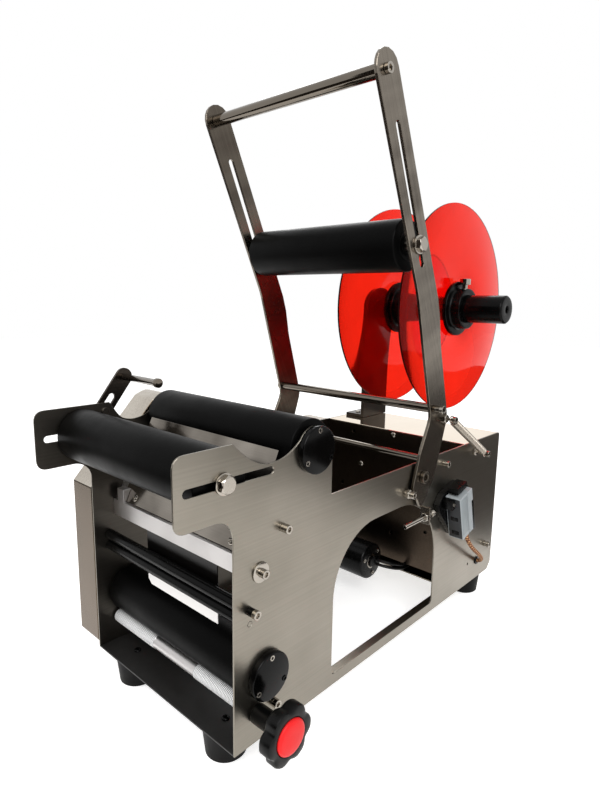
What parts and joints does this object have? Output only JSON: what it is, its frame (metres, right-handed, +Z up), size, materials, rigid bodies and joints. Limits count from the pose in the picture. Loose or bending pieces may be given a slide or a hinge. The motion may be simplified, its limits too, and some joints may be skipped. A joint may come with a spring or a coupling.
{
  "type": "bottle labeling machine",
  "caption": "Semi-automatic bench labeling machine for round bottles: brushed steel side plates, black rollers, a swinging press frame and a reel of two clear red discs",
  "frame": {"origin": "on the table, under the middle of the machine", "axes": "+X towards the label reel at the rear, +Y towards the side with the belt cover, +Z up"},
  "size_m": [0.7482, 0.3562, 0.7212],
  "materials": {
    "brushed_steel": "brushed",
    "pale_steel": "satin",
    "aluminium": "machined",
    "zinc_steel": "bright zinc plated",
    "black_rubber": "matte",
    "black_oxide": "satin black",
    "black_plastic": "satin",
    "red_plastic": "gloss",
    "red_acrylic": "clear tinted, gloss",
    "grey_plastic": "satin",
    "tan_sleeve": "braided"
  },
  "bodies": {
    "machine_frame": {"chrome_guide_rod": "pale_steel", "control_box_front_panel": "pale_steel", "control_box_shell": "brushed_steel", "far_front_foot": "black_rubber", "far_pivot_screw": "zinc_steel", "far_rear_foot": "black_rubber", "far_side_cover": "brushed_steel", "far_side_plate": "brushed_steel", "front_bottom_plate": "black_oxide", "gear_motor": "black_oxide", "label_guide_plate": "pale_steel", "limit_switch_body": "grey_plastic", "limit_switch_bracket": "black_plastic", "lower_bearing_cap": "black_oxide", "lower_far_bearing": "black_oxide", "motor_belt": "black_rubber", "motor_lead": "black_rubber", "near_front_foot": "black_rubber", "near_pivot_screw": "zinc_steel", "near_rear_foot": "black_rubber", "near_side_plate": "brushed_steel", "peel_bar": "aluminium", "peel_plate": "pale_steel", "power_inlet": "black_plastic", "reel_post": "brushed_steel", "roller_belt": "black_rubber", "spring_post": "zinc_steel", "switch_lead": "tan_sleeve", "upper_bearing_cap": "black_oxide", "upper_far_bearing": "black_oxide"},
    "press_frame": {"near_press_arm": "brushed_steel", "far_press_arm": "brushed_steel", "handle_rod": "pale_steel", "lower_frame_rod": "pale_steel", "adjusting_screw": "zinc_steel", "return_spring": "zinc_steel"},
    "press_carriage": {"press_roller_shaft": "zinc_steel"},
    "press_roller_body": {"press_roller": "black_rubber"},
    "ear_carriage": {"ear_roller_shaft": "zinc_steel"},
    "ear_roller_body": {"ear_roller": "black_rubber"},
    "top_drive": {"top_drive_roller": "black_rubber", "top_roller_pulley": "aluminium"},
    "traction": {"traction_roller": "black_rubber", "traction_pulley": "aluminium"},
    "pinch": {"knurled_pinch_roller": "aluminium", "hand_knob": "black_plastic", "knob_cap": "red_plastic"},
    "upper_guide": {"upper_guide_roller": "black_plastic"},
    "lower_guide": {"lower_guide_roller": "black_plastic"},
    "reel": {"reel_shaft": "black_plastic", "far_label_disc": "red_acrylic", "far_disc_hub": "black_plastic"},
    "near_disc": {"near_label_disc": "red_acrylic", "near_disc_hub": "black_plastic", "hub_thumb_screw": "zinc_steel"},
    "switch_plunger": {"limit_switch_button": "black_plastic"},
    "bottle_stop": {"bottle_stop_arm": "brushed_steel", "bottle_stop_rod": "pale_steel"},
    "motor_drive": {"motor_pulley": "aluminium"}
  },
  "joints": [
    {"name": "press_swing", "type": "hinge", "parent": "machine_frame", "child": "press_frame", "pos_m": [0.00483, 0.00313, 0.2459], "axis": [0, -1, 0], "range_deg": [0, 48], "stiffness_Nm_per_rad": 8, "springref_deg": -20.05, "deforming": ["return_spring"]},
    {"name": "press_roller_slide", "type": "slide", "parent": "press_frame", "child": "press_carriage", "axis": [-0.4049, 0, 0.9143], "range_m": [-0.0229, 0.1297]},
    {"name": "press_roller_spin", "type": "hinge", "parent": "press_carriage", "child": "press_roller_body", "pos_m": [-0.03276, 0.00313, 0.5342], "axis": [0, 1, 0], "continuous": true},
    {"name": "ear_roller_slide", "type": "slide", "parent": "machine_frame", "child": "ear_carriage", "axis": [1, 0, 0], "range_m": [-0.038, 0.044]},
    {"name": "ear_roller_spin", "type": "hinge", "parent": "ear_carriage", "child": "ear_roller_body", "pos_m": [-0.32117, 0.00313, 0.311], "axis": [0, 1, 0], "continuous": true},
    {"name": "traction_spin", "type": "hinge", "parent": "machine_frame", "child": "traction", "pos_m": [-0.26798, 0.00313, 0.1012], "axis": [0, 1, 0], "continuous": true},
    {"name": "top_drive_spin", "type": "hinge", "parent": "machine_frame", "child": "top_drive", "pos_m": [-0.20247, 0.00313, 0.3201], "axis": [0, 1, 0], "continuous": true},
    {"name": "pinch_spin", "type": "hinge", "parent": "machine_frame", "child": "pinch", "pos_m": [-0.28271, 0.00313, 0.06682], "axis": [0, 1, 0], "continuous": true},
    {"name": "motor_spin", "type": "hinge", "parent": "machine_frame", "child": "motor_drive", "pos_m": [0.07863, 0.00313, 0.0615], "axis": [0, 1, 0], "continuous": true},
    {"name": "upper_guide_spin", "type": "hinge", "parent": "machine_frame", "child": "upper_guide", "pos_m": [-0.29197, 0.00313, 0.1792], "axis": [0, 1, 0], "continuous": true},
    {"name": "lower_guide_spin", "type": "hinge", "parent": "machine_frame", "child": "lower_guide", "pos_m": [-0.29087, 0.00313, 0.165], "axis": [0, 1, 0], "continuous": true},
    {"name": "reel_spin", "type": "hinge", "parent": "machine_frame", "child": "reel", "pos_m": [0.21413, 0.00313, 0.459], "axis": [0, 1, 0], "continuous": true},
    {"name": "near_disc_slide", "type": "slide", "parent": "reel", "child": "near_disc", "axis": [0, 1, 0], "range_m": [-0.06, 0.08]},
    {"name": "switch_press", "type": "slide", "parent": "machine_frame", "child": "switch_plunger", "axis": [0.2588, 0, -0.9659], "range_m": [0, 0.003], "stiffness_N_per_m": 300, "springref_m": -0.004},
    {"name": "bottle_stop_swing", "type": "hinge", "parent": "machine_frame", "child": "bottle_stop", "pos_m": [-0.28968, 0.00313, 0.334], "axis": [0, -1, 0], "range_deg": [-50, 95]}
  ],
  "couplings": [
    {"joint": "top_drive_spin", "follows": "traction_spin", "ratio": 0.91667},
    {"joint": "pinch_spin", "follows": "traction_spin", "ratio": -3.3412},
    {"joint": "motor_spin", "follows": "traction_spin", "ratio": 1.375}
  ]
}
